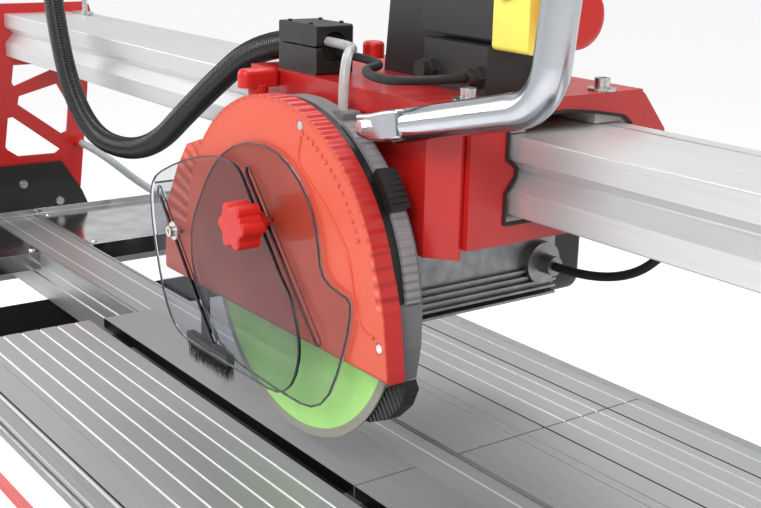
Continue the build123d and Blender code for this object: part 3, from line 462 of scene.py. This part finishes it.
def resample(pts, step):
    """Points a fixed step apart along a polyline, with its last point kept."""
    out = [pts[0]]
    left = step
    for a, b in zip(pts, pts[1:]):
        seg = (b - a).length
        pos = 0.0
        while seg - pos >= left:
            pos += left
            out.append(a.lerp(b, pos / seg))
            left = step
        left -= seg - pos
    if (out[-1] - pts[-1]).length > step * 0.3:
        out.append(pts[-1])
    else:
        out[-1] = pts[-1]
    return out


def tube_mesh(name, pts, radius_at, sides, material):
    """Tube along points, with parallel-transported rings; radius_at(i) gives each ring's radius."""
    up = Vector((0, 0, 1))
    verts, faces = [], []
    t0 = (pts[1] - pts[0]).normalized()
    n = t0.cross(up)
    if n.length < 0.1:
        n = t0.cross(Vector((1, 0, 0)))
    n.normalize()
    for i, p in enumerate(pts):
        a = pts[max(i - 1, 0)]
        b = pts[min(i + 1, len(pts) - 1)]
        t = (b - a).normalized()
        n = (n - t * n.dot(t)).normalized()
        c = t.cross(n)
        r = radius_at(i)
        for k in range(sides):
            ang = 2 * math.pi * k / sides
            verts.append(p + (n * math.cos(ang) + c * math.sin(ang)) * r)
    for i in range(len(pts) - 1):
        for k in range(sides):
            a, b = i * sides + k, i * sides + (k + 1) % sides
            faces.append((a, b, b + sides, a + sides))
    faces.append(tuple(range(sides))[::-1])
    faces.append(tuple(range((len(pts) - 1) * sides, len(pts) * sides)))
    me = bpy.data.meshes.new(name)
    me.from_pydata([tuple(v) for v in verts], [], faces)
    for poly in me.polygons:
        poly.use_smooth = len(poly.vertices) == 4
    me.materials.append(material)
    ob = bpy.data.objects.new(name, me)
    bpy.context.scene.collection.objects.link(ob)
    return ob


def line_tube(name, points, radius, material, body, closed=False, nurbs=False):
    """Thin moulded bead along points in the row frame."""
    cu = bpy.data.curves.new(name, "CURVE")
    cu.dimensions = "3D"
    cu.bevel_depth = radius
    cu.bevel_resolution = 2
    sp = cu.splines.new("NURBS" if nurbs else "POLY")
    sp.points.add(len(points) - 1)
    for i, p in enumerate(points):
        sp.points[i].co = (*p, 1)
    sp.use_cyclic_u = closed
    if nurbs:
        sp.order_u = 3
        sp.use_endpoint_u = True
    link(bpy.data.objects.new(name, cu), material, body)


def rim_loops(node, normal):
    """Closed loops round a node's flat faces that look along normal, as lists of points."""
    bm = bmesh.new()
    bm.from_mesh(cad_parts[node].data)
    bmesh.ops.remove_doubles(bm, verts=bm.verts, dist=1e-6)
    bm.normal_update()
    n = Vector(normal)
    after = {}
    for e in bm.edges:
        if len(e.link_faces) != 2:
            continue
        flat = [f.normal.dot(n) > 0.99 for f in e.link_faces]
        if flat[0] != flat[1]:
            a, b = e.verts
            after.setdefault(a.index, []).append(b.index)
            after.setdefault(b.index, []).append(a.index)
    bm.verts.ensure_lookup_table()
    loops, used = [], set()
    for start in after:
        if start in used:
            continue
        loop, current = [start], start
        used.add(start)
        while True:
            step = [i for i in after[current] if i not in used]
            if not step:
                break
            current = step[0]
            used.add(current)
            loop.append(current)
        if len(loop) > 3:
            loops.append([bm.verts[i].co.copy() for i in loop])
    bm.free()
    return loops


def bead_rims(node, radius, material, body):
    for k, loop in enumerate(rim_loops(node, (0, -1, 0))):
        line_tube("%s_bead_%d" % (node, k), loop, radius, material, body, closed=True)


def box_mesh(bm, lo, hi):
    made = bmesh.ops.create_cube(bm, size=1.0)["verts"]
    lo, hi = Vector(lo), Vector(hi)
    for v in made:
        v.co = Vector(((v.co[i] + 0.5) * (hi[i] - lo[i]) + lo[i]) for i in range(3))


bead_rims("guard_right", 0.0011, RIM, "right_guard")
bead_rims("guard_front", 0.0011, RIM, "front_guard")

# shell: moulded ridge and small triangles along its rim
RIDGE = [(57, 367), (46, 343), (72, 326), (97, 311), (124, 288), (142, 265), (150, 234), (156, 210),
         (172, 199), (184, 199)]
line_tube("shell_ridge", [at(x, -32.9, z) for x, z in RIDGE], 0.0016, SHELL, "head", nurbs=True)
TRIANGLE_RING, TRIANGLE_R = 174, 3.0
THIRDS = (0, 2.094, 4.189)
triangle_verts, triangle_faces = [], []
for k in range(15):
    a = math.radians(70 - 3.1 * k)
    centre = Vector((TRIANGLE_RING * math.cos(a), 0, SPINDLE_Z + TRIANGLE_RING * math.sin(a)))
    turn = a + (math.pi if k % 2 else 0)
    corners = []
    for q in THIRDS:
        spoke = Vector((TRIANGLE_R * math.cos(turn + q), 0, TRIANGLE_R * math.sin(turn + q)))
        corners.append(centre + spoke)
    base = len(triangle_verts)
    for y in (-32.0, -33.9):
        triangle_verts += [at(c.x, y, c.z) for c in corners]
    triangle_faces += [(base + 3, base + 4, base + 5)]
    for i in range(3):
        triangle_faces += [(base + i, base + (i + 1) % 3, base + 3 + (i + 1) % 3, base + 3 + i)]
mesh_object("shell_triangles", triangle_verts, triangle_faces, SHELL, "head")

# handle: flattened lower end over the tube, and the bolt that holds it
flat_outline = [(106, 374), (126, 372), (150, 375), (172, 381),
                (168, 408), (148, 404), (126, 398), (104, 394)]
bolt_angles = [k * math.pi / 3 for k in range(6)]
bolt_outline = [(119 + 6 * math.cos(a), 385 + 6 * math.sin(a)) for a in bolt_angles]
flat = prism("handle_flat", flat_outline, -3.5, 9.5, CHROME, "head")
prism("handle_bolt", bolt_outline, -9, -3, ZINC, "head")
flat_bevel = flat.modifiers.new("edge", "BEVEL")
flat_bevel.width = 0.003
flat_bevel.segments = 3

# brush: holder, hanger strip and bristles
BRISTLES = 520
BRUSH_X, BRUSH_Y = (-190, -92), (-35, -24)
bm = bmesh.new()
box_mesh(bm, at(BRUSH_X[0], BRUSH_Y[0], 80), at(BRUSH_X[1], BRUSH_Y[1], 95))
box_mesh(bm, at(-161, -30.5, 94), at(-139, -28, 187))
bmesh.ops.bevel(bm, geom=bm.edges[:], offset=0.0012, segments=2, affect="EDGES")
for _ in range(BRISTLES):
    foot = Vector((random.uniform(-188, -94), random.uniform(-34, -25), 81))
    tip = foot + Vector((random.gauss(0, 2.2), random.gauss(0, 1.0), 0))
    tip.x = min(max(tip.x, BRUSH_X[0]), BRUSH_X[1])
    tip.y = min(max(tip.y, BRUSH_Y[0]), BRUSH_Y[1])
    tip.z = random.uniform(55.6, 63)
    ring = []
    for q in (0, 2.1, 4.2):
        ring.append(bm.verts.new(at(foot.x + 0.35 * math.cos(q), foot.y + 0.35 * math.sin(q), foot.z)))
    top = bm.verts.new(at(*tip))
    for i in range(3):
        bm.faces.new((ring[i], ring[(i + 1) % 3], top))
brush_mesh = bpy.data.meshes.new("brush_bristles")
bm.to_mesh(brush_mesh)
bm.free()
brush_ob = bpy.data.objects.new("brush_bristles", brush_mesh)
link(brush_ob, BLACK_PLASTIC, "head")
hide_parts("brush")

# ------------------------------------------------------------------ cords
CORDS = {
    "conduit": [(-36, 65, 440), (-166, 65, 440), (-325, 65, 352), (-505, 65, 236), (-735, 65, 241),
                (-858, 75, 450), (-955, 120, 700), (-1139, 258, 700)],
    "switch_cable": [(-36, 71, 433), (60, 71, 433), (92, 8, 433), (150, 8, 428), (150, 92, 428)],
    "water_tube": [(-36, 57, 446), (22, 57, 446), (62, 12, 446), (62, 12, 390)],
    "motor_cable": [(104, 274, 200), (200, 274, 200), (258, 306, 266), (260, 306, 332), (199, 306, 332)],
    "pump_hose": [(-1160, 243, 131), (-1090, 243, 131), (-1060, 330, 50), (-985, 388, 16), (-880, 380, 25),
                  (-700, 330, 40), (-700, 330, -75)],
}


def make_cord(node, radius, material, bodies, start, ribs=0.0, pitch=0.004):
    """Round tube along a cord's route; with ribs, its radius swells and shrinks once each pitch."""
    pts = sampled(route_curve(node + "_line", CORDS[node]))
    if ribs:
        rings = resample(pts, pitch / 4)
        wave = (0.0, -0.5, -1.0, -0.5)
        ob = tube_mesh(node + "_tube", rings, lambda i: radius + ribs * wave[i % 4], 28, material)
    else:
        rings = resample(pts, radius * 0.8)
        ob = tube_mesh(node + "_tube", rings, lambda i: radius, 20, material)
    if start is None:
        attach(ob, bodies[0])
    else:
        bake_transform(ob)
    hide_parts(node)


make_cord("conduit", 0.0155, CONDUIT, ("carriage", "bridge"),
          tuple(at(-120, 65, 440)), ribs=0.0030, pitch=0.0046)
make_cord("switch_cable", 0.0045, RUBBER, ("carriage", "carriage"), None)
make_cord("water_tube", 0.005, TUBE, ("carriage", "head"),
          tuple(at(0, 57, 446)))
make_cord("motor_cable", 0.005, RUBBER, ("head", "carriage"),
          tuple(at(130, 274, 200)))
make_cord("pump_hose", 0.007, HOSE_GREY, ("bridge", "frame"),
          tuple(at(-1140, 243, 131)))

# ------------------------------------------------------------------ stage and light
floor_m = Nodes("floor", (0.95, 0.95, 0.95), 0.85)
floor_m.vary(3, 0.02)
floor_m.bsdf.inputs["Emission Color"].default_value = (1, 1, 1, 1)
floor_m.bsdf.inputs["Emission Strength"].default_value = 0.35
bpy.ops.mesh.primitive_plane_add(size=200, location=(0, 0, 0))
floor = bpy.context.object
floor.name = "floor"
floor.data.materials.append(floor_m.done())

# the camera sees a white surround, while the object is lit and mirrored by a graded grey one
world = bpy.data.worlds.new("world")
bpy.context.scene.world = world
world.use_nodes = True
wt = world.node_tree
seen_bg = wt.nodes["Background"]
seen_bg.inputs[0].default_value = (1, 1, 1, 1)
seen_bg.inputs[1].default_value = 1.0
lit_bg = wt.nodes.new("ShaderNodeBackground")
lit_bg.inputs[1].default_value = 0.85
sky = wt.nodes.new("ShaderNodeTexCoord")
split = wt.nodes.new("ShaderNodeSeparateXYZ")
wt.links.new(sky.outputs["Generated"], split.inputs[0])
ramp = wt.nodes.new("ShaderNodeValToRGB")
ramp.color_ramp.elements[0].position = 0.0
ramp.color_ramp.elements[0].color = (0.22, 0.22, 0.23, 1)
ramp.color_ramp.elements[1].position = 1.0
ramp.color_ramp.elements[1].color = (1, 1, 1, 1)
for position, level in ((0.12, 0.30), (0.22, 0.95), (0.48, 0.9), (0.56, 0.38), (0.70, 0.55)):
    stop = ramp.color_ramp.elements.new(position)
    stop.color = (level, level, level, 1)
wt.links.new(split.outputs[2], ramp.inputs[0])
wt.links.new(ramp.outputs[0], lit_bg.inputs[0])
path = wt.nodes.new("ShaderNodeLightPath")
mix = wt.nodes.new("ShaderNodeMixShader")
wt.links.new(path.outputs["Is Camera Ray"], mix.inputs[0])
wt.links.new(lit_bg.outputs[0], mix.inputs[1])
wt.links.new(seen_bg.outputs[0], mix.inputs[2])
wt.links.new(mix.outputs[0], wt.nodes["World Output"].inputs[0])


def area_light(name, loc, target, size, power):
    data = bpy.data.lights.new(name, "AREA")
    data.shape = "RECTANGLE"
    data.size = size[0]
    data.size_y = size[1]
    data.energy = power
    ob = bpy.data.objects.new(name, data)
    bpy.context.scene.collection.objects.link(ob)
    ob.location = loc
    ob.rotation_euler = (Vector(target) - Vector(loc)).to_track_quat("-Z", "Y").to_euler()


area_light("key", (2.2, -2.6, 3.2), (0.2, 0, 1.0), (1.6, 1.6), 90)
area_light("fill", (-2.6, -2.0, 2.4), (0.2, 0, 1.0), (2.0, 2.0), 45)
area_light("top", (0.0, 1.0, 3.8), (0.2, 0, 0.9), (2.5, 1.2), 60)
